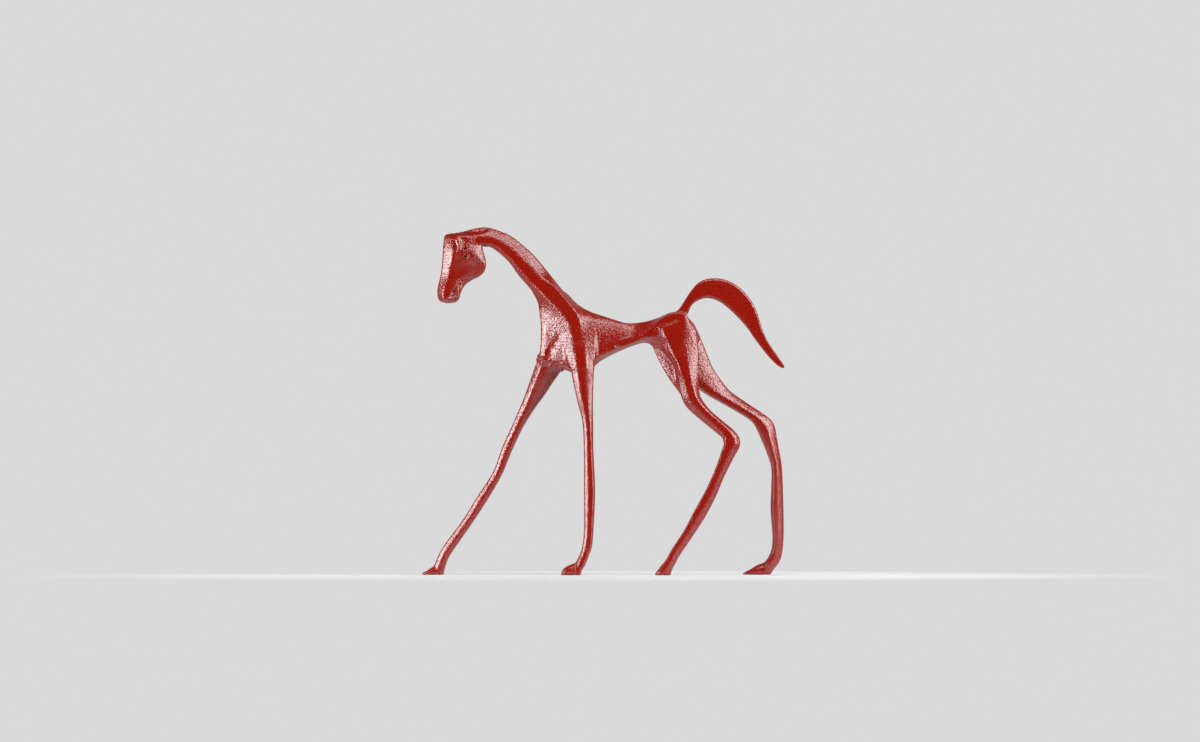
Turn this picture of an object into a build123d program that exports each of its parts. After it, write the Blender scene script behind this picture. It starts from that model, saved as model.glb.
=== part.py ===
"""A slender standing horse ornament: seven castings on dowels, with weld metal round each joint.

Frame: +Z up from the floor, the head points along -X, the near side is -Y and the far side +Y.
All lengths are in millimetres.
"""
from build123d import *
from dataclasses import dataclass
from math import cos, sin, tau
import os

# Trunk: neck, chest, barrel and croup
trunk_length = 220.0        # from the head joint to the rump
trunk_front = -125.0        # X of the head joint
leg_height = 200.0          # from the floor to the crotch of the legs
trunk_rise = 146.5          # from the crotch to the top of the crest
trunk_half_depth = 18.5     # at its widest, across the hips

# Head
head_drop = 75.0            # from the top of the crest to the chin
head_breadth = 45.0         # from the muzzle's front to the back of the jaw
head_half_depth = 11.5      # at the cheeks

# Legs: how far each one swings along the body, its thickest section, how far its toe reaches
# forward and how high its instep stands
near_fore_sweep = 30.0
near_fore_half_width = 15.0
near_fore_half_depth = 9.5
near_fore_toe_reach = 15.5
near_fore_instep = 12.5
far_fore_sweep = 120.0
far_fore_half_width = 15.0
far_fore_half_depth = 9.5
far_fore_toe_reach = 16.0
far_fore_instep = 9.5
near_hind_sweep = 70.0
near_hind_half_width = 19.0
near_hind_half_depth = 10.0
near_hind_toe_reach = 9.5
near_hind_instep = 12.0
far_hind_sweep = 110.0
far_hind_half_width = 16.0
far_hind_half_depth = 10.5
far_hind_toe_reach = 23.0
far_hind_instep = 12.5
toe_half_depth = 6.3

# Stance across the body: how far the feet stand from the middle plane
fore_track = 27.0
hind_track = 27.5

# Tail blade
tail_reach = 103.0          # from its root to the tip, along the body
tail_height = 91.0          # from the tip to the top of its arch
tail_half_width = 11.4
tail_half_depth = 4.4

# Joints: dowels in blind bores, and weld metal in a step round each joint
dowel_radius = 2.5
dowel_reach = 9.0           # into each of the two castings
tail_dowel_radius = 1.5
tail_dowel_reach = 7.0
bore_clearance = 0.1
bore_end_clearance = 0.4
weld_depth = 1.6
weld_half_width = 1.6
tail_weld_depth = 1.2
tail_weld_half_width = 1.2
overrun = 90.0              # how far the cutting blocks run past what they cut

# Sections of the trunk from inside the head to the rump: the top point's place along the trunk
# and height in the rise, the same for the bottom point, and the half depth
TRUNK_SHARES = (
    (-0.070, 0.966, -0.039, 0.863, 0.36),
    (-0.013, 1.002, 0.016, 0.881, 0.42),
    (0.078, 0.993, 0.047, 0.874, 0.43),
    (0.142, 0.954, 0.094, 0.830, 0.45),
    (0.197, 0.892, 0.140, 0.764, 0.47),
    (0.252, 0.817, 0.183, 0.675, 0.50),
    (0.306, 0.720, 0.232, 0.590, 0.55),
    (0.361, 0.617, 0.270, 0.510, 0.65),
    (0.425, 0.500, 0.286, 0.400, 0.80),
    (0.493, 0.428, 0.322, 0.220, 0.90),
    (0.548, 0.387, 0.412, 0.000, 0.88),
    (0.593, 0.369, 0.543, 0.085, 0.76),
    (0.643, 0.356, 0.620, 0.144, 0.65),
    (0.698, 0.351, 0.693, 0.190, 0.58),
    (0.757, 0.362, 0.761, 0.215, 0.62),
    (0.816, 0.388, 0.820, 0.170, 0.80),
    (0.875, 0.425, 0.890, 0.140, 0.96),
    (0.935, 0.421, 0.962, 0.181, 0.90),
    (0.972, 0.350, 1.003, 0.255, 0.60),
)
NECK_JOINT = 1              # the section of this table where the head is joined on

# Sections of the head from the poll to the chin: the front point's place across the breadth and
# down the drop, the same for the back point, and the half depth
HEAD_SHARES = (
    (0.16, 0.080, 0.86, 0.008, 0.50),
    (0.14, 0.160, 0.97, 0.110, 0.78),
    (0.12, 0.300, 1.01, 0.290, 0.94),
    (0.11, 0.430, 1.08, 0.430, 1.00),
    (0.10, 0.530, 1.07, 0.540, 0.94),
    (0.08, 0.600, 0.97, 0.630, 0.84),
    (0.06, 0.660, 0.78, 0.690, 0.72),
    (0.02, 0.740, 0.62, 0.760, 0.64),
    (0.00, 0.830, 0.52, 0.860, 0.62),
    (0.01, 0.910, 0.49, 0.935, 0.58),
    (0.08, 0.995, 0.40, 0.995, 0.36),
)
head_joint_share = 0.92     # place of the neck joint across the head's breadth

# Sections of a leg from inside the trunk to under its heel: place along its sweep, share of the
# drop to the floor, half width, half depth, and how far out towards its track
NEAR_FORE_SHARES = (
    (0.00, 0.000, 0.80, 0.70, 0.12),
    (0.10, 0.091, 0.91, 0.95, 0.36),
    (0.17, 0.167, 0.80, 0.95, 0.47),
    (0.22, 0.246, 0.66, 0.82, 0.55),
    (0.28, 0.318, 0.51, 0.69, 0.61),
    (0.36, 0.397, 0.36, 0.59, 0.66),
    (0.39, 0.508, 0.32, 0.55, 0.72),
    (0.42, 0.666, 0.37, 0.59, 0.80),
    (0.40, 0.803, 0.32, 0.55, 0.88),
    (0.35, 0.882, 0.32, 0.56, 0.92),
    (0.25, 0.921, 0.30, 0.57, 0.94),
    (0.14, 0.952, 0.32, 0.59, 0.96),
    (0.04, 0.980, 0.27, 0.59, 0.98),
    (-0.01, 1.011, 0.24, 0.53, 0.99),
)
FAR_FORE_SHARES = (
    (0.000, 0.000, 0.80, 0.70, 0.12),
    (-0.026, 0.089, 1.02, 0.95, 0.34),
    (-0.042, 0.149, 0.97, 1.00, 0.45),
    (-0.085, 0.200, 0.89, 0.97, 0.52),
    (-0.143, 0.251, 0.75, 0.86, 0.57),
    (-0.198, 0.301, 0.63, 0.77, 0.61),
    (-0.261, 0.354, 0.48, 0.67, 0.65),
    (-0.353, 0.434, 0.36, 0.59, 0.70),
    (-0.445, 0.525, 0.35, 0.57, 0.75),
    (-0.526, 0.617, 0.31, 0.53, 0.80),
    (-0.648, 0.708, 0.35, 0.57, 0.85),
    (-0.776, 0.799, 0.33, 0.56, 0.90),
    (-0.922, 0.891, 0.35, 0.58, 0.95),
    (-0.973, 0.929, 0.35, 0.60, 0.97),
    (-1.003, 0.963, 0.37, 0.65, 0.98),
    (-1.023, 0.990, 0.41, 0.67, 0.99),
    (-1.031, 1.016, 0.43, 0.63, 1.00),
)
NEAR_HIND_SHARES = (
    (-0.06, 0.005, 0.74, 0.70, 0.12),
    (-0.02, 0.080, 1.02, 0.95, 0.33),
    (0.08, 0.141, 0.89, 0.98, 0.43),
    (0.13, 0.193, 0.73, 0.92, 0.50),
    (0.20, 0.250, 0.57, 0.83, 0.55),
    (0.29, 0.306, 0.46, 0.75, 0.59),
    (0.45, 0.358, 0.37, 0.70, 0.62),
    (0.64, 0.404, 0.35, 0.65, 0.65),
    (0.785, 0.440, 0.37, 0.65, 0.68),
    (0.84, 0.476, 0.43, 0.64, 0.71),
    (0.78, 0.518, 0.37, 0.60, 0.74),
    (0.65, 0.602, 0.30, 0.54, 0.79),
    (0.53, 0.678, 0.32, 0.55, 0.83),
    (0.37, 0.761, 0.33, 0.56, 0.88),
    (0.21, 0.837, 0.28, 0.54, 0.92),
    (0.05, 0.904, 0.27, 0.56, 0.96),
    (-0.03, 0.944, 0.27, 0.59, 0.98),
    (-0.085, 0.971, 0.29, 0.63, 0.99),
    (-0.128, 1.003, 0.32, 0.62, 1.00),
)
FAR_HIND_SHARES = (
    (0.037, 0.000, 0.81, 0.70, 0.12),
    (0.135, 0.075, 0.96, 0.95, 0.33),
    (0.200, 0.139, 0.94, 1.00, 0.43),
    (0.262, 0.187, 0.85, 0.95, 0.49),
    (0.349, 0.231, 0.72, 0.86, 0.53),
    (0.486, 0.282, 0.49, 0.74, 0.57),
    (0.642, 0.326, 0.42, 0.67, 0.60),
    (0.770, 0.364, 0.43, 0.65, 0.63),
    (0.856, 0.406, 0.57, 0.65, 0.66),
    (0.893, 0.457, 0.49, 0.62, 0.69),
    (0.925, 0.505, 0.41, 0.57, 0.72),
    (0.957, 0.566, 0.35, 0.53, 0.76),
    (0.962, 0.650, 0.38, 0.52, 0.81),
    (0.962, 0.739, 0.42, 0.53, 0.86),
    (0.971, 0.840, 0.37, 0.51, 0.91),
    (0.962, 0.900, 0.36, 0.52, 0.95),
    (0.935, 0.937, 0.39, 0.58, 0.97),
    (0.885, 0.969, 0.37, 0.63, 0.98),
    (0.850, 1.005, 0.25, 0.57, 0.99),
)
FORE_JOINT = 3              # the section of a leg's table where it is joined on
HIND_JOINT = 4

# Sections of a toe from under the leg to its tip: place along its reach, height of its top in the
# instep, and half depth
TOE_SHARES = (
    (0.00, 1.00, 0.92),
    (0.35, 0.76, 1.00),
    (0.65, 0.42, 0.90),
    (0.85, 0.25, 0.70),
    (1.00, 0.07, 0.36),
)
BLUNT_TOE_SHARES = (
    (0.00, 1.00, 0.90),
    (0.30, 0.88, 0.98),
    (0.60, 0.72, 0.98),
    (0.86, 0.48, 0.82),
    (1.00, 0.18, 0.46),
)
toe_centre_share = 0.35     # height of a toe's centres in its height, low so that the sole is flat

# Where the limbs start inside the trunk: place along the trunk and height in the rise
near_shoulder_shares = (0.448, 0.353)
far_shoulder_shares = (0.370, 0.434)
hip_shares = (0.880, 0.333)
tail_root_shares = (0.932, 0.433)

# Sections of the tail from inside the croup to the tip: place along the reach, height over the
# tip, half width and half depth
TAIL_SHARES = (
    (-0.063, 0.566, 0.47, 0.95),
    (0.000, 0.643, 0.44, 0.95),
    (0.047, 0.736, 0.38, 0.95),
    (0.107, 0.811, 0.52, 0.98),
    (0.190, 0.877, 0.77, 1.00),
    (0.288, 0.893, 0.91, 1.00),
    (0.388, 0.866, 0.99, 0.95),
    (0.479, 0.800, 1.02, 0.91),
    (0.565, 0.703, 0.96, 0.82),
    (0.633, 0.593, 0.81, 0.75),
    (0.687, 0.480, 0.61, 0.66),
    (0.734, 0.373, 0.48, 0.59),
    (0.798, 0.258, 0.39, 0.55),
    (0.871, 0.147, 0.34, 0.48),
    (0.940, 0.059, 0.25, 0.39),
    (0.985, 0.011, 0.09, 0.20),
)
TAIL_JOINT = 1

ring_points = 8             # points round each oval section


@dataclass
class Section:
    """One oval section: its centre, the direction of its width in the side view, and its sizes."""
    centre: Vector
    across: Vector
    half_width: float
    half_depth: float

    def plane(self):
        """The plane of the section, with its normal along the limb."""
        depth = Vector(0, 1, 0)
        return Plane(origin=self.centre, x_dir=self.across, z_dir=self.across.cross(depth))

    def face(self, inset=0):
        """The oval as a face, drawn in by inset all round."""
        points = []
        for step in range(ring_points):
            turn = tau * step / ring_points
            width = (self.half_width - inset) * cos(turn)
            depth = (self.half_depth - inset) * sin(turn)
            points.append(self.plane().from_local_coords((width, depth)))
        return Face(Wire([Edge.make_spline(points, periodic=True)]))


@dataclass
class Joint:
    """Where a limb is joined on: its section, with its normal towards the limb, its dowel and
    its weld."""
    section: Section
    dowel_radius: float
    dowel_reach: float
    weld_depth: float
    weld_half_width: float

    def block(self, side):
        """A block that holds all there is near the joint on one side of its plane: 1 is the
        limb's side and -1 the body's."""
        middle = Pos(0, 0, side * overrun / 2)
        return self.section.plane() * middle * Box(overrun, overrun, overrun)

    def limb_part(self, skin):
        """The part of a skin that belongs to the limb."""
        return largest(skin - self.block(-1))

    def body_part(self, skin):
        """The part of a skin that belongs to the body."""
        return largest(skin & self.block(-1))

    def sleeve(self, inset):
        """A short length of the section, drawn in by inset all round."""
        return extrude(self.section.face(inset), self.weld_half_width, both=True)

    def weld(self, skin):
        """The ring of weld metal in the step round the joint, flush with the skin."""
        return largest((skin & self.sleeve(-self.weld_depth)) - self.sleeve(self.weld_depth))

    def dowel(self):
        """The dowel, with its middle at the joint."""
        return self.section.plane() * Cylinder(self.dowel_radius, 2 * self.dowel_reach)

    def bore(self):
        """The blind bores for the dowel in both castings, as one cutter."""
        radius = self.dowel_radius + bore_clearance
        reach = self.dowel_reach + bore_end_clearance
        return self.section.plane() * Cylinder(radius, 2 * reach)


@dataclass
class Leg:
    """A leg: its sections, the point where it starts, its sizes, its side and its toe."""
    rows: tuple
    top: Vector
    sweep: float
    half_width: float
    half_depth: float
    side: int
    track: float
    joint_index: int
    toe_rows: tuple
    toe_reach: float
    instep: float

    def sections(self):
        """Sections from the top inside the trunk to just under the floor at the heel."""
        centres = []
        for sweep_share, drop_share, _, _, spread_share in self.rows:
            along = self.top.X + self.sweep * sweep_share
            out = self.side * self.track * spread_share
            centres.append(Vector(along, out, self.top.Z * (1 - drop_share)))
        return path_sections(centres, self.rows, self.half_width, self.half_depth)

    def toe_sections(self):
        """Upright sections from the heel forward to the tip of the toe."""
        heel = self.sections()[-1].centre
        sections = []
        for reach_share, height_share, depth_share in self.toe_rows:
            top = self.instep * height_share
            centre = Vector(heel.X - self.toe_reach * reach_share, heel.Y, top * toe_centre_share)
            sections.append(Section(
                centre, Vector(0, 0, 1), top * (1 - toe_centre_share), toe_half_depth * depth_share
            ))
        return sections

    def skin(self):
        """The whole leg, cut flat at the floor."""
        heel = self.sections()[-1].centre
        under = Pos(heel.X, heel.Y, -overrun / 2) * Box(overrun, overrun, overrun)
        return largest(skin_of(self.sections()) + skin_of(self.toe_sections()) - under)

    def joint(self):
        """The joint where the leg meets its stub on the body."""
        section = self.sections()[self.joint_index]
        return Joint(section, dowel_radius, dowel_reach, weld_depth, weld_half_width)


def largest(shape):
    """The largest solid of a shape."""
    return max(shape.solids(), key=lambda solid: solid.volume)


def trunk_point(along_share, height_share):
    """A point of the middle plane, placed by shares of the trunk's length and rise."""
    return Vector(trunk_front + trunk_length * along_share, 0, leg_height + trunk_rise * height_share)


def head_point(across_share, drop_share):
    """A point of the middle plane, placed by shares of the head's breadth and drop."""
    crest = trunk_point(0, 1)
    across = head_breadth * (across_share - head_joint_share)
    return crest + Vector(across, 0, -head_drop * drop_share)


def spanned_sections(rows, point, half_depth):
    """Sections that span from one point of the outline to the one across from it."""
    sections = []
    for first_along, first_height, second_along, second_height, depth_share in rows:
        first = point(first_along, first_height)
        second = point(second_along, second_height)
        span = first - second
        middle = (first + second) / 2
        sections.append(Section(middle, span.normalized(), span.length / 2, half_depth * depth_share))
    return sections


def path_sections(centres, rows, half_width, half_depth):
    """Sections square to the path through their centres, as the side view shows it."""
    sections = []
    for index, centre in enumerate(centres):
        run = centres[min(index + 1, len(centres) - 1)] - centres[max(index - 1, 0)]
        across = Vector(run.Z, 0, -run.X).normalized()
        width_share, depth_share = rows[index][2:4]
        sections.append(Section(centre, across, half_width * width_share, half_depth * depth_share))
    return sections


def tail_sections():
    """Sections of the tail from its root inside the croup to its tip."""
    root = trunk_point(*tail_root_shares)
    root_share = TAIL_SHARES[TAIL_JOINT][1]
    centres = []
    for reach_share, height_share, *_ in TAIL_SHARES:
        rise = tail_height * (height_share - root_share)
        centres.append(root + Vector(tail_reach * reach_share, 0, rise))
    return path_sections(centres, TAIL_SHARES, tail_half_width, tail_half_depth)


def skin_of(sections):
    """A smooth solid through a row of sections."""
    return loft([section.face() for section in sections]).solid()


def write(name, solid):
    """Write a node to its file."""
    solid.label = name
    export_step(solid, f"parts/{name}.step")


def join(name, casting, joint, weld):
    """Write a casting that is joined to the body, with its weld and its dowel."""
    solid = largest(casting - weld - joint.bore())
    write(name, solid)
    weld_name = name.replace("_leg", "")
    write(f"{weld_name}_weld", weld)
    write(f"{weld_name}_dowel", joint.dowel())
    return solid


def legs():
    """The four legs by name."""
    near_shoulder = trunk_point(*near_shoulder_shares)
    far_shoulder = trunk_point(*far_shoulder_shares)
    hip = trunk_point(*hip_shares)
    return {
        "near_fore_leg": Leg(
            NEAR_FORE_SHARES, near_shoulder, near_fore_sweep, near_fore_half_width,
            near_fore_half_depth, -1, fore_track, FORE_JOINT, BLUNT_TOE_SHARES,
            near_fore_toe_reach, near_fore_instep,
        ),
        "far_fore_leg": Leg(
            FAR_FORE_SHARES, far_shoulder, far_fore_sweep, far_fore_half_width,
            far_fore_half_depth, 1, fore_track, FORE_JOINT, TOE_SHARES,
            far_fore_toe_reach, far_fore_instep,
        ),
        "near_hind_leg": Leg(
            NEAR_HIND_SHARES, hip, near_hind_sweep, near_hind_half_width,
            near_hind_half_depth, -1, hind_track, HIND_JOINT, TOE_SHARES,
            near_hind_toe_reach, near_hind_instep,
        ),
        "far_hind_leg": Leg(
            FAR_HIND_SHARES, hip, far_hind_sweep, far_hind_half_width,
            far_hind_half_depth, 1, hind_track, HIND_JOINT, TOE_SHARES,
            far_hind_toe_reach, far_hind_instep,
        ),
    }


def main():
    """Build every piece and write it."""
    os.makedirs("parts", exist_ok=True)
    stubs, cutters = [], []
    for name, leg in legs().items():
        joint = leg.joint()
        skin = leg.skin()
        weld = joint.weld(skin)
        limb = join(name, joint.limb_part(skin), joint, weld)
        stubs.append(joint.body_part(skin))
        cutters += [limb, weld, joint.bore()]

    tail = tail_sections()
    tail_joint = Joint(
        tail[TAIL_JOINT], tail_dowel_radius, tail_dowel_reach, tail_weld_depth, tail_weld_half_width
    )
    tail_skin = skin_of(tail)
    tail_weld = tail_joint.weld(tail_skin)
    tail_blade = join("tail", tail_joint.limb_part(tail_skin), tail_joint, tail_weld)
    stubs.append(tail_joint.body_part(tail_skin))
    cutters += [tail_blade, tail_weld, tail_joint.bore()]

    trunk = spanned_sections(TRUNK_SHARES, trunk_point, trunk_half_depth)
    neck_joint = Joint(trunk[NECK_JOINT], dowel_radius, dowel_reach, weld_depth, weld_half_width)
    trunk_skin = skin_of(trunk)
    head_skin = skin_of(spanned_sections(HEAD_SHARES, head_point, head_half_depth))
    head_casting = neck_joint.limb_part(head_skin) + largest(trunk_skin & neck_joint.block(1))
    body = largest(trunk_skin - neck_joint.block(1))
    head_weld = neck_joint.weld(head_casting + body)
    join("head", head_casting, neck_joint, head_weld)
    cutters += [head_weld, neck_joint.bore()]

    for stub in stubs:
        body = body + stub
    for cutter in cutters:
        body = body - cutter
    write("body", largest(body))


main()
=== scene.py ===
"""Looks of a red enamelled horse ornament: modelled castings, weld seams and a pale studio.

The horse is modelled as clay is: broad faceted strokes along the neck, trunk, legs and tail are
pressed together, small ridges and hollows are worked into them, and the skin is then cut into its
castings at the weld seams. Sizes are in millimetres of the real horse, +Z up, the head towards -X
and the near side towards -Y, until a finished piece is written in metres. The studio is in metres.
"""
import logging
import math
from collections.abc import Callable
from dataclasses import dataclass
from enum import Enum

import bmesh
import bpy
import numpy as np
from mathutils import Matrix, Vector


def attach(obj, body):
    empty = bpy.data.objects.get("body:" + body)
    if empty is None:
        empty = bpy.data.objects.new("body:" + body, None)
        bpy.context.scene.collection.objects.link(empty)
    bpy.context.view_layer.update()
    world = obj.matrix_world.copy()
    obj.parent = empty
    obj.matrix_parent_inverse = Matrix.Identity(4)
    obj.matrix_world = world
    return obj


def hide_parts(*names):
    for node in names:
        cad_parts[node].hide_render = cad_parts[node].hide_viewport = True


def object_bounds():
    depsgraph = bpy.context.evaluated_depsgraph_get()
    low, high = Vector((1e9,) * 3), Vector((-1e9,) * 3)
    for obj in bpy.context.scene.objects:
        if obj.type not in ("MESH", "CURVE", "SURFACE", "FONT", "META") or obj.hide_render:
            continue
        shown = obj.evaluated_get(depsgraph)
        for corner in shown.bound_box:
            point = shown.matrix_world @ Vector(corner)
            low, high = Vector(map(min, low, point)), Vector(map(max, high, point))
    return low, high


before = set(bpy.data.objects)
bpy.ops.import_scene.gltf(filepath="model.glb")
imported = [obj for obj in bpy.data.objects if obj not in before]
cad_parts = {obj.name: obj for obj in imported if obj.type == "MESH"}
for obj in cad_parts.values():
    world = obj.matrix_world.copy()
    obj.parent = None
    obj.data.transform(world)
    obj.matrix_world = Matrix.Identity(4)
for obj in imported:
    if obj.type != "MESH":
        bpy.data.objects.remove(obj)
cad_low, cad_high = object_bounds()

import openvdb
from mathutils import Vector

log = logging.getLogger("horse")

HORSE_HEIGHT = 346.9        # of the real horse, in the millimetres that it is modelled in
METRES = (cad_high[2] - cad_low[2]) / HORSE_HEIGHT  # one of them, in the frame's metres
CLAY_PITCH = 0.7            # step of the clay's grid
CLAY_MARGIN = 6.0           # empty room round the horse in the grid
STATION_STEP = 2 * CLAY_PITCH  # between the blended stations of a stroke
SKIN_BAND = 3 * CLAY_PITCH  # how far from the skin the field is kept when it is meshed
PRESS_REACH = 9.0           # how far from a stroke its field still counts
END_ROUND = 3.0             # how round the ends of a stroke are
TOOL_ROOM = PRESS_REACH / 2  # how far from a tool the clay is worked
MIDDLE_BAND = 2.0           # how far from the middle plane a push is full
PAST_ENDS = 0.5             # least distance past the ends of a point that no station passes
WITHIN_ENDS = -0.01         # the most that a point between the ends counts as past them
BRUSH_SHIFT = 37.0          # keeps the brush marks of one stroke apart from the next one's
BRUSH_LAYER = "brush"       # name of the skin's own frame for brush marks
TINY = 1e-6                 # stands in for nothing where something is divided by it
X, Y, Z, ACROSS_X, ACROSS_Z, HALF_WIDTH = range(6)  # axes, and columns of the blended stations


class Side(Enum):
    """A side of the horse, by the sign of Y."""
    NEAR = -1
    FAR = 1


class Touch(Enum):
    """What a modelling tool does to the clay: a ball added or taken away, or the skin itself
    pushed out or in softly."""
    RAISE = 1
    HOLLOW = 2
    SWELL = 3
    SINK = 4


@dataclass
class Station:
    """One section of a stroke: its centre, the direction of its width in the side view, its half
    width and half depth, and where the flat of its near face starts and ends across the width."""
    x: float
    y: float
    z: float
    across_x: float
    across_z: float
    half_width: float
    half_depth: float
    flat_from: float
    flat_to: float


@dataclass
class Stroke:
    """A rod of clay through stations: how far its faces are flat rather than oval, how round its
    ridges are, how thick its outer edges stay, how hollow its faces are, and how softly it is
    pressed onto the rest."""
    stations: list[Station]
    facet_share: float = 0.6
    ridge_round: float = 1.6
    edge_round_share: float = 0.30
    edge_share: float = 0.0
    cup_share: float = 0.0
    press: float = 6.0

    def dense(self, step: float) -> np.ndarray:
        """Stations blended so that neighbours are about a step apart.

        Args:
            step: The distance between the new stations.

        Returns:
            One row per new station, with a column for each value of Station.
        """
        rows = np.array([list(vars(station).values()) for station in self.stations])
        padded = np.vstack([2 * rows[0] - rows[1], rows, 2 * rows[-1] - rows[-2]])
        blended = []
        for index in range(len(rows) - 1):
            before, start, end, after = padded[index:index + 4]
            count = max(int(np.linalg.norm((end - start)[[X, Z]]) / step), 1)
            for turn in np.arange(count) / count:
                blended.append(0.5 * (
                    2 * start + (end - before) * turn
                    + (2 * before - 5 * start + 4 * end - after) * turn ** 2
                    + (3 * start - before - 3 * end + after) * turn ** 3
                ))
        blended.append(rows[-1])
        return np.array(blended)


@dataclass
class Mark:
    """A line drawn into the skin with a round tool, on one side or on both: points (x, z, radius,
    depth). The depth is how deep a ball's centre lies under the skin, or how far it is pushed."""
    points: tuple
    touch: Touch
    soft: float = 1.0
    sides: tuple = (Side.NEAR, Side.FAR)


def soft_min(first: np.ndarray, second: np.ndarray, reach: float) -> np.ndarray:
    """The smaller of two fields, with a fillet of that reach where they meet."""
    blend = np.maximum(reach - np.abs(first - second), 0) / reach
    return np.minimum(first, second) - blend * blend * reach / 4


def soft_max(first: np.ndarray, second: np.ndarray, reach: float) -> np.ndarray:
    """The larger of two fields, with an edge rounded over that reach."""
    return -soft_min(-first, -second, reach)


def links_of(points: np.ndarray) -> list[tuple]:
    """Each point of a chain with the next one, or a lone point with itself."""
    return list(zip(points[:-1], points[1:])) or [(points[0], points[0])]


def along_run(
    here: tuple | list, start: np.ndarray, end: np.ndarray
) -> tuple[np.ndarray, np.ndarray]:
    """Where points lie beside a straight run.

    Args:
        here: The points' coordinates, one array per axis.
        start: The place where the run starts.
        end: The place where it ends.

    Returns:
        The share of the run where it passes nearest to each point, and the distance there.
    """
    run = end - start
    share = sum((at - first) * step for at, first, step in zip(here, start, run))
    share = np.clip(share / max(run @ run, TINY), 0, 1)
    away = sum((at - first - step * share) ** 2 for at, first, step in zip(here, start, run))
    return share, np.sqrt(away)


def new_object(name: str, data: bpy.types.ID) -> bpy.types.Object:
    """A new object in the scene, at the origin."""
    made = bpy.data.objects.new(name, data)
    bpy.context.collection.objects.link(made)
    return made


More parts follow.
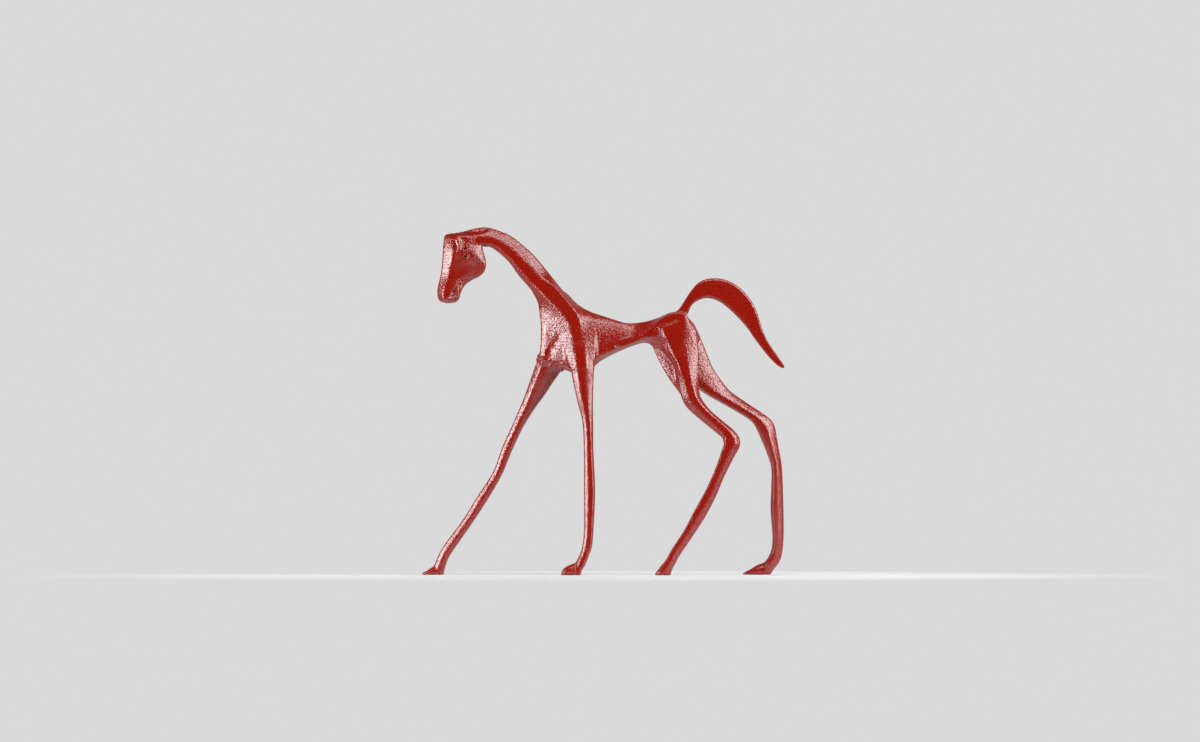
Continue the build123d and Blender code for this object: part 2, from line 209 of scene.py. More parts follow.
class Clay:
    """The horse as a field on a grid: distance from the skin, negative inside."""

    def __init__(self) -> None:
        """Make an empty grid round the frame's box."""
        low = np.array(cad_low) / METRES - CLAY_MARGIN
        high = np.array(cad_high) / METRES + CLAY_MARGIN
        self.low = np.floor(low / CLAY_PITCH) * CLAY_PITCH
        self.count = np.ceil((high - self.low) / CLAY_PITCH).astype(int) + 1
        self.field = np.full(self.count, PRESS_REACH, dtype=np.float32)
        self.axes = [
            self.low[axis] + CLAY_PITCH * np.arange(self.count[axis]) for axis in (X, Y, Z)
        ]
        self.owner = np.zeros(self.count, dtype=np.uint8)
        self.brushed: list[tuple[int, int, np.ndarray, np.ndarray]] = []

    def press(self, stroke: Stroke) -> None:
        """Press a stroke onto the clay.

        Args:
            stroke: The stroke, in the horse's frame.
        """
        rows = stroke.dense(STATION_STEP)
        widest = rows[:, HALF_WIDTH].max() + PRESS_REACH
        span_x, span_z = (
            self.window(axis, rows[:, axis].min() - widest, rows[:, axis].max() + widest)
            for axis in (X, Z)
        )
        grid_x, grid_z = np.meshgrid(self.axes[X][span_x], self.axes[Z][span_z], indexing="ij")
        place, overshoot = self.place_along(rows, grid_x, grid_z)
        values = self.values_at(rows, place)
        across = (grid_x - values[X]) * values[ACROSS_X] + (grid_z - values[Z]) * values[ACROSS_Z]
        near = (np.abs(across) < values[HALF_WIDTH] + PRESS_REACH) & (overshoot < PRESS_REACH)
        picked = [value[near][:, None] for value in values]
        distance = self.section_distance(stroke, picked, across[near][:, None])
        distance = soft_max(distance, overshoot[near][:, None], END_ROUND)
        at_x, at_z = np.nonzero(near)
        at_x, at_z = at_x + span_x.start, at_z + span_z.start
        old, owner = self.field[at_x, :, at_z], self.owner[at_x, :, at_z]
        self.owner[at_x, :, at_z] = np.where(distance < old, len(self.brushed), owner)
        self.field[at_x, :, at_z] = soft_min(old, distance.astype(np.float32), stroke.press)
        along = np.interp(place, np.arange(len(rows)), self.run_of(rows))
        self.brushed.append((span_x.start, span_z.start, along, across))

    @staticmethod
    def run_of(rows: np.ndarray) -> np.ndarray:
        """How far along the stroke each dense station lies."""
        steps = np.hypot(*np.diff(rows[:, [X, Z]], axis=0).T)
        return np.concatenate([[0.0], np.cumsum(steps)])

    def brush_frame(self, points: np.ndarray, homes: np.ndarray) -> np.ndarray:
        """The brush's frame on the skin: how far along its stroke, across it and in depth.

        Args:
            points: Corners of the skin's faces, in millimetres.
            homes: The middle of each corner's face, which tells whose stroke it belongs to.

        Returns:
            One row of along, across and depth per corner.
        """
        cells, home_cells = (
            np.clip(np.rint((places - self.low) / CLAY_PITCH).astype(int), 0, self.count - 1)
            for places in (points, homes)
        )
        owner = self.owner[tuple(home_cells.T)]
        made = np.zeros((len(points), 3))
        made[:, 2] = points[:, Y]
        for index, (start_x, start_z, along, across) in enumerate(self.brushed):
            own = owner == index
            at_x = np.clip(cells[own, X] - start_x, 0, along.shape[0] - 1)
            at_z = np.clip(cells[own, Z] - start_z, 0, along.shape[1] - 1)
            made[own, 0] = along[at_x, at_z] + index * BRUSH_SHIFT
            made[own, 1] = across[at_x, at_z]
        return made

    def window(self, axis: int, low: float, high: float) -> slice:
        """The grid's indices between two places on an axis."""
        first = int((low - self.low[axis]) / CLAY_PITCH)
        last = int((high - self.low[axis]) / CLAY_PITCH) + 2
        return slice(max(first, 0), min(last, self.count[axis]))

    @staticmethod
    def place_along(
        rows: np.ndarray, grid_x: np.ndarray, grid_z: np.ndarray
    ) -> tuple[np.ndarray, np.ndarray]:
        """Where each point of the side view lies along a stroke.

        Args:
            rows: The stroke's dense stations.
            grid_x: X of the points.
            grid_z: Z of the points.

        Returns:
            The place, in stations and parts of one, and how far it lies past the stroke's ends.
        """
        best = np.full(grid_x.shape, np.inf)
        place = np.zeros(grid_x.shape)
        ahead_x, ahead_z = rows[:, ACROSS_Z], -rows[:, ACROSS_X]
        run_x, run_z = np.diff(rows[:, [X, Z]], axis=0).T
        sign = np.sign((run_x * ahead_x[:-1] + run_z * ahead_z[:-1]).sum())
        passed = [
            sign * ((grid_x - row[X]) * x + (grid_z - row[Z]) * z)
            for row, x, z in zip(rows, ahead_x, ahead_z)
        ]
        for index in range(len(rows) - 1):
            start, end = passed[index], -passed[index + 1]
            part = start / np.maximum(start + end, TINY)
            middle = rows[index] + (rows[index + 1] - rows[index]) * 0.5
            away = np.hypot(grid_x - middle[X], grid_z - middle[Z])
            closer = (start >= 0) & (end >= 0) & (away < best)
            best[closer] = away[closer]
            place[closer] = (index + part)[closer]
        missed = ~np.isfinite(best)
        to_first, to_last = (
            np.hypot(grid_x - rows[end, X], grid_z - rows[end, Z]) for end in (0, -1)
        )
        place[missed & (to_last < to_first)] = len(rows) - 1
        overshoot = np.where(place > (len(rows) - 1) / 2, passed[-1], -passed[0])
        overshoot = np.where(
            missed, np.maximum(overshoot, PAST_ENDS), np.minimum(overshoot, WITHIN_ENDS)
        )
        return place, overshoot

    @staticmethod
    def values_at(rows: np.ndarray, place: np.ndarray) -> list[np.ndarray]:
        """The station values at places along a stroke, one array per column."""
        lower = np.minimum(place.astype(int), len(rows) - 2)
        part = place - lower
        return [
            rows[lower, column] * (1 - part) + rows[lower + 1, column] * part
            for column in range(rows.shape[1])
        ]

    def section_distance(
        self, stroke: Stroke, values: list[np.ndarray], across: np.ndarray
    ) -> np.ndarray:
        """Distance from a stroke's skin, for columns of points through the whole depth.

        Args:
            stroke: The stroke, for how it is shaped.
            values: The station values of each column.
            across: How far each column lies from the stroke's middle line.

        Returns:
            The distance at each column and each depth of the grid.
        """
        _, middle, _, _, _, half_width, half_depth, flat_from, flat_to = values
        depth = self.axes[Y][None, :] - middle
        width_share, depth_share = across / half_width, depth / half_depth
        radial = np.hypot(width_share, depth_share)
        slope = np.hypot(width_share / half_width, depth_share / half_depth)
        oval = radial * (radial - 1) / np.maximum(slope, TINY)
        edge_round = stroke.edge_round_share * half_depth
        out = np.sqrt(depth ** 2 + edge_round ** 2) - edge_round
        top = np.sqrt(half_depth ** 2 + edge_round ** 2) - edge_round
        cup = stroke.cup_share * np.maximum(1 - width_share ** 2, 0)
        face = out - top * (1 - cup)
        run_from, run_to = (1 + flat_from) * half_width, (1 - flat_to) * half_width
        rim, rise = top * stroke.edge_share, top * (1 - stroke.edge_share)
        start = ((out - rim) * run_from - (across + half_width) * rise) / np.hypot(run_from, rise)
        end = ((out - rim) * run_to + (across - half_width) * rise) / np.hypot(run_to, rise)
        facets = soft_max(soft_max(start, end, stroke.ridge_round), face, stroke.ridge_round)
        if stroke.edge_share > 0:
            facets = soft_max(facets, np.abs(across) - half_width, stroke.ridge_round)
        return oval + (facets - oval) * stroke.facet_share

    def skin_depth(self, x: float, z: float, side: Side) -> float:
        """Y of the skin on one side, at a place in the side view."""
        at_x, at_z = (
            int(round((place - self.low[axis]) / CLAY_PITCH)) for place, axis in ((x, X), (z, Z))
        )
        inside = np.nonzero(self.field[at_x, :, at_z] < 0)[0]
        if len(inside) == 0:
            return 0.0
        return self.axes[Y][inside[0] if side is Side.NEAR else inside[-1]]

    def draw(self, mark: Mark) -> None:
        """Work a mark into the skin.

        Args:
            mark: The line, tool and sides.
        """
        for side in mark.sides:
            if mark.touch in (Touch.SWELL, Touch.SINK):
                self.push(np.array(mark.points), mark.touch, side)
                continue
            balls = []
            for x, z, radius, sunk in mark.points:
                balls.append((x, self.skin_depth(x, z, side) - side.value * sunk, z, radius))
            self.work(np.array(balls), mark.touch, mark.soft)

    def push(self, points: np.ndarray, touch: Touch, side: Side) -> None:
        """Push the skin of one side out or in, fading away from a line.

        Args:
            points: Rows of x, z, radius and how far the skin is pushed.
            touch: Whether it is pushed out or in.
            side: The side that is pushed.
        """
        room = points[:, 2].max()
        at_x, at_z = (
            self.window(axis, points[:, column].min() - room, points[:, column].max() + room)
            for column, axis in enumerate((X, Z))
        )
        here = np.meshgrid(self.axes[X][at_x], self.axes[Z][at_z], indexing="ij")
        pushed = np.zeros(here[0].shape)
        for start, end in links_of(points):
            share, away = along_run(here, start[:2], end[:2])
            radius = start[2] + (end[2] - start[2]) * share
            height = start[3] + (end[3] - start[3]) * share
            fade = np.maximum(1 - (away / radius) ** 2, 0) ** 2
            pushed = np.maximum(pushed, height * fade)
        depth = np.clip(side.value * self.axes[Y] / MIDDLE_BAND, 0, 1)
        sign = -1 if touch is Touch.SWELL else 1
        change = sign * pushed[:, None, :] * depth[None, :, None]
        self.field[at_x, :, at_z] += change.astype(np.float32)

    def work(self, balls: np.ndarray, touch: Touch, soft: float) -> None:
        """Add or take away a chain of balls.

        Args:
            balls: Rows of x, y, z and radius.
            touch: Whether the chain is added or taken away.
            soft: How softly it meets the skin.
        """
        room = balls[:, 3].max() + TOOL_ROOM
        spans = tuple(
            self.window(axis, balls[:, axis].min() - room, balls[:, axis].max() + room)
            for axis in (X, Y, Z)
        )
        here = np.ix_(*[self.axes[axis][span] for axis, span in enumerate(spans)])
        distance = np.inf
        for start, end in links_of(balls):
            share, away = along_run(here, start[:3], end[:3])
            distance = np.minimum(distance, away - start[3] - (end[3] - start[3]) * share)
        old = self.field[spans]
        if touch is Touch.RAISE:
            self.field[spans] = soft_min(old, distance, soft)
        else:
            self.field[spans] = soft_max(old, -distance, soft)

    def cut_floor(self) -> None:
        """Cut the soles flat on the floor."""
        self.field = np.maximum(self.field, -self.axes[Z][None, None, :]).astype(np.float32)

    def skin(self, name: str) -> bpy.types.Object:
        """The skin as one smooth mesh.

        Args:
            name: The name of the new object.

        Returns:
            The object, in metres.
        """
        grid = openvdb.FloatGrid(PRESS_REACH)
        grid.copyFromArray(np.clip(self.field, -SKIN_BAND, SKIN_BAND).astype(np.float64))
        points, quads = grid.convertToQuads(0.0)
        points, quads = points * CLAY_PITCH + self.low, quads[:, ::-1]
        mesh = bpy.data.meshes.new(name)
        mesh.from_pydata((points * METRES).tolist(), [], quads.tolist())
        corners = points[quads]
        homes = np.repeat(corners.mean(axis=1), corners.shape[1], axis=0)
        layer = mesh.attributes.new(BRUSH_LAYER, "FLOAT_VECTOR", "CORNER")
        layer.data.foreach_set("vector", self.brush_frame(corners.reshape(-1, 3), homes).ravel())
        work = bmesh.new()
        work.from_mesh(mesh)
        bmesh.ops.recalc_face_normals(work, faces=work.faces)
        work.to_mesh(mesh)
        work.free()
        return new_object(name, mesh)


@dataclass
class Seam:
    """A weld seam between the body and a limb, at a station of its stroke. reach is how far from
    its middle the skin still belongs to it."""
    limb: str
    station: Station
    half_width: float
    reach: float

    @property
    def name(self) -> str:
        """The name of its ring of weld metal."""
        return self.limb.removesuffix("_leg") + "_weld"

    @property
    def middle(self) -> Vector:
        """Its middle, in metres."""
        return Vector((self.station.x, self.station.y, self.station.z)) * METRES

    @property
    def direction(self) -> Vector:
        """The direction to the limb."""
        return Vector((-self.station.across_z, 0.0, self.station.across_x))


def stations_along(
    centres: list[tuple], widths: list[tuple], flats: tuple
) -> list[Station]:
    """Stations square to the path through their centres, as the side view shows it.

    Args:
        centres: x, y and z of each station.
        widths: Half width and half depth of each station.
        flats: Rows of place along the stroke, and where the near flat starts and ends there.

    Returns:
        The stations in order.
    """
    stations = []
    last = len(centres) - 1
    for index, (centre, (half_width, half_depth)) in enumerate(zip(centres, widths)):
        after, before = centres[min(index + 1, last)], centres[max(index - 1, 0)]
        run_x, run_z = after[0] - before[0], after[2] - before[2]
        length = math.hypot(run_x, run_z)
        flat = flat_at(flats, index / last)
        stations.append(Station(
            *centre, run_z / length, -run_x / length, half_width, half_depth, *flat
        ))
    return stations


def stations_across(
    point: Callable, rows: tuple, half_depth: float, flats: tuple
) -> list[Station]:
    """Stations in the middle plane that span the outline from one side to the other.

    Args:
        point: What turns a pair of shares into x and z.
        rows: The shares of the first point, those of the second, and that of the half depth.
        half_depth: The half depth where its share is 1.
        flats: Rows of place along the stroke, and where the near flat starts and ends there.

    Returns:
        The stations in order.
    """
    stations = []
    for index, row in enumerate(rows):
        first_x, first_z = point(*row[:2])
        second_x, second_z = point(*row[2:4])
        run_x, run_z = first_x - second_x, first_z - second_z
        length = math.hypot(run_x, run_z)
        flat = flat_at(flats, index / (len(rows) - 1))
        stations.append(Station(
            (first_x + second_x) / 2, 0.0, (first_z + second_z) / 2,
            run_x / length, run_z / length, length / 2, half_depth * row[4], *flat,
        ))
    return stations


def flat_at(flats: tuple, place: float) -> tuple[float, float]:
    """Where the near flat starts and ends at a place along a stroke."""
    places, starts, ends = zip(*flats)
    return float(np.interp(place, places, starts)), float(np.interp(place, places, ends))


@dataclass
class Trunk:
    """Neck, chest, barrel and croup, as one stroke from inside the head to the rump, and where
    the legs stand: hip_shares is where both hind legs start, and a track is how far the feet of a
    pair stand from the middle plane."""
    length: float = 220.0
    front: float = -125.0
    leg_height: float = 200.0
    rise: float = 146.5
    half_depth: float = 18.5
    neck_station: int = 1
    seam_half_width: float = 1.6
    seam_reach: float = 26.0
    hip_shares: tuple = (0.880, 0.333)
    fore_track: float = 27.0
    hind_track: float = 27.5
    # Shares: the top point's place and height, the same for the bottom point, and the half depth
    rows: tuple = (
        (-0.070, 0.966, -0.039, 0.863, 0.30),
        (-0.013, 1.002, 0.016, 0.881, 0.32),
        (0.078, 0.993, 0.047, 0.874, 0.32),
        (0.142, 0.954, 0.094, 0.830, 0.34),
        (0.197, 0.892, 0.140, 0.764, 0.38),
        (0.252, 0.817, 0.183, 0.675, 0.41),
        (0.306, 0.720, 0.232, 0.590, 0.45),
        (0.361, 0.617, 0.270, 0.510, 0.60),
        (0.425, 0.500, 0.286, 0.400, 0.78),
        (0.493, 0.428, 0.322, 0.220, 0.88),
        (0.548, 0.387, 0.412, 0.020, 0.86),
        (0.593, 0.369, 0.543, 0.085, 0.74),
        (0.643, 0.356, 0.620, 0.144, 0.56),
        (0.698, 0.351, 0.693, 0.190, 0.48),
        (0.757, 0.362, 0.761, 0.215, 0.62),
        (0.816, 0.388, 0.820, 0.170, 0.76),
        (0.875, 0.425, 0.890, 0.140, 0.86),
        (0.935, 0.421, 0.962, 0.181, 0.84),
        (0.972, 0.350, 1.003, 0.255, 0.58),
    )
    # Shares: the place along the trunk, and where the near flat starts and ends across it
    flats: tuple = (
        (0.00, -0.75, -0.10),
        (0.22, -0.75, -0.05),
        (0.28, -0.70, 0.10),
        (0.34, -0.65, 0.25),
        (0.39, -0.50, 0.70),
        (0.44, 0.00, 0.80),
        (0.50, 0.10, 0.55),
        (0.56, -0.60, -0.10),
        (0.62, -0.80, -0.45),
        (0.74, -0.80, -0.35),
        (0.80, -0.50, 0.40),
        (0.85, -0.20, 0.90),
        (1.00, -0.30, 0.92),
    )
    # The girdle's front and back edge, where its flat starts and ends, its height, and the depth of
    # its near and far side
    girdle_rows: tuple = (
        (-67.5, -37.0, -55.5, -42.5, 281.5, 7.0, 6.0),
        (-63.5, -26.5, -46.5, -33.5, 270.5, 10.5, 8.5),
        (-62.0, -13.0, -40.0, -28.0, 262.5, 13.0, 10.5),
        (-61.5, 13.0, -33.5, -24.5, 252.5, 15.3, 12.0),
        (-61.5, 23.0, -29.5, -21.5, 239.5, 17.6, 13.0),
        (-62.5, 8.0, -26.5, -19.5, 224.5, 19.4, 14.0),
        (-60.5, -3.0, -25.5, -18.5, 214.5, 20.3, 14.5),
        (-50.0, -9.0, -25.0, -18.5, 207.0, 20.0, 13.5),
    )

    def point(self, along_share: float, height_share: float) -> tuple[float, float]:
        """x and z of a point placed by shares of the trunk's length and rise."""
        return (
            self.front + self.length * along_share,
            self.leg_height + self.rise * height_share,
        )

    def stroke(self) -> Stroke:
        """The trunk's clay."""
        return Stroke(
            stations_across(self.point, self.rows, self.half_depth, self.flats),
            facet_share=0.95, ridge_round=1.6, edge_round_share=0.15,
        )

    def girdle(self) -> Stroke:
        """The shoulder girdle: the breast's broad front face, a narrow flat down to the near leg,
        and the shoulder's back face."""
        stations = []
        for front, back, flat_start, flat_end, z, near, far in self.girdle_rows:
            middle, half = (front + back) / 2, (back - front) / 2
            stations.append(Station(
                middle, (far - near) / 2, z, -1.0, 0.0, half, (far + near) / 2,
                (middle - flat_end) / half, (middle - flat_start) / half,
            ))
        return Stroke(
            stations, facet_share=1.0, ridge_round=1.2, edge_round_share=0.12, press=4.0
        )

    def seam(self) -> Seam:
        """The seam where the head is welded on."""
        station = self.stroke().stations[self.neck_station]
        return Seam("head", station, self.seam_half_width, self.seam_reach)

    def marks(self) -> list[Mark]:
        """The soft hollow of the chest, and the pit in the belly."""
        near = (Side.NEAR,)
        chest = ((-43.5, 236.5, 6.5, 0.5), (-53.0, 221.5, 6.0, 0.8))
        pit = ((13.6, 227.8, 1.4, 0.1), (14.6, 226.9, 1.2, 0.1))
        return [
            Mark(chest, Touch.SINK, sides=near),
            Mark(pit, Touch.HOLLOW, soft=0.5, sides=near),
        ]


@dataclass
class Head:
    """The head: a stroke from the poll to the chin, with cheek, eye, nostril and mouth."""
    trunk: Trunk
    drop: float = 75.0
    breadth: float = 45.0
    half_depth: float = 11.5
    joint_share: float = 0.92
    # Shares: the front point's place and drop, the same for the back point, and the half depth
    rows: tuple = (
        (0.16, 0.080, 0.86, 0.008, 0.56),
        (0.14, 0.160, 0.97, 0.110, 0.84),
        (0.12, 0.300, 1.01, 0.290, 1.00),
        (0.11, 0.430, 1.08, 0.430, 1.00),
        (0.09, 0.560, 1.07, 0.540, 0.92),
        (0.065, 0.650, 0.97, 0.630, 0.84),
        (0.03, 0.735, 0.78, 0.690, 0.82),
        (0.00, 0.830, 0.62, 0.760, 0.86),
        (0.01, 0.915, 0.52, 0.860, 0.90),
        (0.05, 0.970, 0.49, 0.935, 0.86),
        (0.14, 1.000, 0.40, 0.998, 0.52),
    )
    flats: tuple = (
        (0.00, 0.00, 0.45),
        (0.30, -0.30, 0.50),
        (0.42, -0.30, 0.52),
        (0.52, -0.20, 0.52),
        (0.62, 0.10, 0.50),
        (0.90, 0.08, 0.48),
        (1.00, 0.00, 0.40),
    )

    def point(self, across_share: float, drop_share: float) -> tuple[float, float]:
        """x and z of a point placed by shares of the head's breadth and drop."""
        crest_x, crest_z = self.trunk.point(0.0, 1.0)
        return (
            crest_x + self.breadth * (across_share - self.joint_share),
            crest_z - self.drop * drop_share,
        )

    def stroke(self) -> Stroke:
        """The head's clay."""
        return Stroke(
            stations_across(self.point, self.rows, self.half_depth, self.flats),
            facet_share=0.9, ridge_round=1.5, edge_round_share=0.1, edge_share=0.36, press=2.5,
        )

    def marks(self) -> list[Mark]:
        """The cheek, eye, brow, nostril and mouth, on both sides."""
        cheek = ((-129.0, 320.0, 12.5, 1.8),)
        jowl = ((-137.0, 303.0, 20.0, 3.2),)
        crest = ((-146.0, 345.0, 8.0, 2.6), (-134.0, 346.0, 9.0, 3.4), (-122.0, 348.0, 8.0, 2.6))
        hollow = ((-139.5, 333.0, 5.0, 1.8), (-142.0, 328.0, 3.5, 1.0))
        brow = (
            (-146.5, 341.5, 3.0, 0.6), (-145.6, 334.0, 3.2, 1.2), (-143.2, 326.5, 3.0, 1.3),
            (-146.0, 318.0, 2.5, 0.5),
        )
        socket = ((-138.4, 322.8, 3.6, 1.0), (-137.8, 318.0, 3.4, 0.9))
        eye = ((-138.8, 321.6, 2.4, 0.9), (-138.2, 319.8, 2.2, 0.8))
        eye_front = ((-138.3, 325.3, 1.3, 0.1), (-136.2, 324.0, 1.1, 0.1))
        eye_back = ((-137.6, 317.2, 1.2, 0.2), (-135.2, 319.0, 1.1, 0.2))
        nostril = ((-150.4, 281.8, 1.2, -0.2), (-148.9, 283.4, 1.0, -0.1))
        mouth = ((-154.5, 276.4, 0.8, -0.1), (-151.0, 277.4, 0.9, 0.0), (-146.6, 279.4, 0.7, -0.1))
        return [
            Mark(cheek, Touch.SWELL),
            Mark(jowl, Touch.SINK),
            Mark(crest, Touch.SINK),
            Mark(hollow, Touch.SINK),
            Mark(brow, Touch.SWELL),
            Mark(socket, Touch.SINK),
            Mark(eye, Touch.RAISE, soft=0.6),
            Mark(eye_front, Touch.HOLLOW, soft=0.4),
            Mark(eye_back, Touch.HOLLOW, soft=0.4),
            Mark(nostril, Touch.HOLLOW, soft=0.5),
            Mark(mouth, Touch.HOLLOW, soft=0.5),
        ]


@dataclass
class Leg:
    """A leg: a stroke from inside the trunk to under the heel, and a stroke for the toe. A row
    holds the shares of its sweep, its height, its half width, its half depth and its track, and a
    row of the toe holds those of its reach, its instep and its half depth."""
    name: str
    trunk: Trunk
    side: Side
    rows: tuple
    flats: tuple
    top_shares: tuple
    sweep: float
    half_width: float
    half_depth: float
    track: float
    joint_station: int
    toe_rows: tuple
    toe_reach: float
    instep: float
    press: float = 6.0
    edge_share: float = 0.45
    toe_half_depth: float = 6.3
    toe_centre_share: float = 0.35
    toe_flat_share: float = 0.3
    seam_half_width: float = 1.6
    seam_reach: float = 28.0

    def stroke(self) -> Stroke:
        """The leg's clay."""
        top_x, top_z = self.trunk.point(*self.top_shares)
        centres = [
            (
                top_x + self.sweep * row[0],
                self.side.value * self.track * row[4],
                top_z * (1 - row[1]),
            )
            for row in self.rows
        ]
        widths = [(self.half_width * row[2], self.half_depth * row[3]) for row in self.rows]
        return Stroke(
            stations_along(centres, widths, self.flats), facet_share=0.85, ridge_round=1.2,
            edge_round_share=0.1, edge_share=self.edge_share, press=self.press,
        )

    def toe(self) -> Stroke:
        """The toe's clay."""
        heel = self.stroke().stations[-1]
        stations = []
        for reach_share, height_share, depth_share in self.toe_rows:
            top = self.instep * height_share
            stations.append(Station(
                heel.x - self.toe_reach * reach_share, heel.y, top * self.toe_centre_share,
                0.0, 1.0, top * (1 - self.toe_centre_share), self.toe_half_depth * depth_share,
                -self.toe_flat_share, self.toe_flat_share,
            ))
        return Stroke(stations, facet_share=0.3, ridge_round=1.2, press=2.0)

    def joint(self) -> Station:
        """The station where the leg is welded to its stub."""
        return self.stroke().stations[self.joint_station]

    def seam(self) -> Seam:
        """The seam at its joint."""
        return Seam(self.name, self.joint(), self.seam_half_width, self.seam_reach)


@dataclass
class FlankFold:
    """The fold of skin before the near thigh, from the flank down to the stifle."""
    # x, y and z of the middle, direction of the width, half width and half depth
    rows: tuple = (
        (51.8, -2.5, 236.0, -0.94, -0.34, 5.4, 5.0),
        (56.6, -3.5, 225.0, -0.92, -0.39, 6.0, 5.2),
        (61.1, -5.0, 214.5, -0.90, -0.44, 5.8, 5.2),
        (66.0, -7.0, 203.5, -0.89, -0.46, 4.9, 5.0),
        (72.0, -9.0, 191.5, -0.88, -0.47, 3.4, 4.6),
        (79.2, -10.5, 179.5, -0.88, -0.47, 2.0, 3.2),
    )
    flat_from: float = -0.95
    flat_to: float = -0.80

    def stroke(self) -> Stroke:
        """The fold's clay: a wedge whose face turns to the front."""
        return Stroke(
            [Station(*row, self.flat_from, self.flat_to) for row in self.rows], facet_share=0.9,
            ridge_round=1.2, edge_round_share=0.2, press=3.0,
        )


@dataclass
class WeldScar:
    """Rough weld metal left round a seam: beads of uneven size, and pits between them."""
    station: Station
    beads: int = 30
    bead_radius: float = 1.7
    bead_soft: float = 0.8
    pits: int = 16
    pit_radius: float = 0.9
    pit_soft: float = 0.4
    turn_spread: float = 0.1
    spread: float = 2.2
    size_shares: tuple = (0.6, 1.3)
    seed: int = 5

    def ring(self, turns: np.ndarray, along: np.ndarray, radius: np.ndarray) -> np.ndarray:
        """Balls round the seam's section.

        Args:
            turns: Angle of each ball round the section.
            along: How far each ball lies from the seam.
            radius: Radius of each ball.

        Returns:
            Rows of x, y, z and radius.
        """
        station = self.station
        across = station.half_width * np.cos(turns)
        return np.stack([
            station.x + station.across_x * across - station.across_z * along,
            station.y + station.half_depth * np.sin(turns),
            station.z + station.across_z * across + station.across_x * along,
            radius,
        ], axis=1)

    def work_into(self, clay: Clay) -> None:
        """Lay the beads and then poke the pits."""
        draw = np.random.default_rng(self.seed)
        for count, size, touch, soft in (
            (self.beads, self.bead_radius, Touch.RAISE, self.bead_soft),
            (self.pits, self.pit_radius, Touch.HOLLOW, self.pit_soft),
        ):
            turns = np.linspace(0, math.tau, count, endpoint=False)
            turns += draw.normal(0, self.turn_spread, count)
            along = draw.normal(0, self.spread, count)
            radius = size * draw.uniform(*self.size_shares, count)
            for ball in self.ring(turns, along, radius):
                side = Side.NEAR if ball[Y] < self.station.y else Side.FAR
                ball[Y] = clay.skin_depth(ball[X], ball[Z], side) or ball[Y]
                clay.work(ball[None, :], touch, soft)


TOE_ROWS = (
    (0.00, 1.00, 0.92),
    (0.35, 0.76, 1.00),
    (0.65, 0.42, 0.90),
    (0.85, 0.25, 0.70),
    (1.00, 0.07, 0.36),
)
BLUNT_TOE_ROWS = (
    (0.00, 1.00, 0.90),
    (0.30, 0.88, 0.98),
    (0.60, 0.72, 0.98),
    (0.86, 0.48, 0.82),
    (1.00, 0.18, 0.46),
)


def near_fore_leg(trunk: Trunk) -> Leg:
    """The straight leg under the chest."""
    rows = (
        (0.05, 0.000, 0.70, 0.60, 0.10),
        (0.11, 0.091, 0.88, 0.92, 0.36),
        (0.17, 0.167, 0.80, 0.95, 0.47),
        (0.22, 0.246, 0.66, 0.82, 0.55),
        (0.28, 0.318, 0.51, 0.69, 0.61),
        (0.36, 0.397, 0.36, 0.59, 0.66),
        (0.39, 0.508, 0.32, 0.55, 0.72),
        (0.42, 0.666, 0.37, 0.59, 0.80),
        (0.40, 0.803, 0.32, 0.55, 0.88),
        (0.35, 0.882, 0.32, 0.56, 0.92),
        (0.25, 0.921, 0.30, 0.57, 0.94),
        (0.14, 0.952, 0.32, 0.59, 0.96),
        (0.04, 0.980, 0.27, 0.59, 0.98),
        (-0.01, 1.011, 0.24, 0.53, 0.99),
    )
    flats = (
        (0.0, -0.15, 0.40), (0.2, -0.10, 0.40), (0.4, -0.35, 0.20), (0.5, -0.70, 0.15),
        (1.0, -0.70, 0.15),
    )
    return Leg(
        "near_fore_leg", trunk, Side.NEAR, rows, flats, top_shares=(0.448, 0.353), sweep=30.0,
        half_width=15.0, half_depth=9.5, track=trunk.fore_track, joint_station=3,
        toe_rows=BLUNT_TOE_ROWS, toe_reach=15.5, instep=12.5,
    )


def far_fore_leg(trunk: Trunk) -> Leg:
    """The leg that strides forward."""
    rows = (
        (0.000, 0.000, 0.80, 0.80, 0.20),
        (-0.026, 0.089, 1.02, 0.92, 0.24),
        (-0.042, 0.149, 0.97, 1.00, 0.24),
        (-0.085, 0.200, 0.89, 1.08, 0.26),
        (-0.143, 0.251, 0.75, 1.00, 0.32),
        (-0.198, 0.301, 0.63, 0.84, 0.40),
        (-0.261, 0.354, 0.48, 0.70, 0.46),
        (-0.353, 0.434, 0.36, 0.60, 0.54),
        (-0.445, 0.525, 0.35, 0.57, 0.62),
        (-0.526, 0.617, 0.31, 0.53, 0.69),
        (-0.648, 0.708, 0.35, 0.57, 0.77),
        (-0.776, 0.799, 0.33, 0.56, 0.85),
        (-0.922, 0.891, 0.35, 0.58, 0.93),
        (-0.973, 0.929, 0.35, 0.60, 0.96),
        (-1.003, 0.963, 0.37, 0.65, 0.98),
        (-1.023, 0.990, 0.41, 0.67, 0.99),
        (-1.031, 1.016, 0.43, 0.63, 1.00),
    )
    flats = ((0.0, -0.10, 0.60), (0.3, -0.30, 0.45), (0.45, -0.60, 0.05), (1.0, -0.60, 0.05))
    return Leg(
        "far_fore_leg", trunk, Side.FAR, rows, flats, top_shares=(0.370, 0.434), sweep=120.0,
        half_width=15.0, half_depth=9.5, track=trunk.fore_track, joint_station=3,
        toe_rows=TOE_ROWS, toe_reach=16.0, instep=9.5,
    )


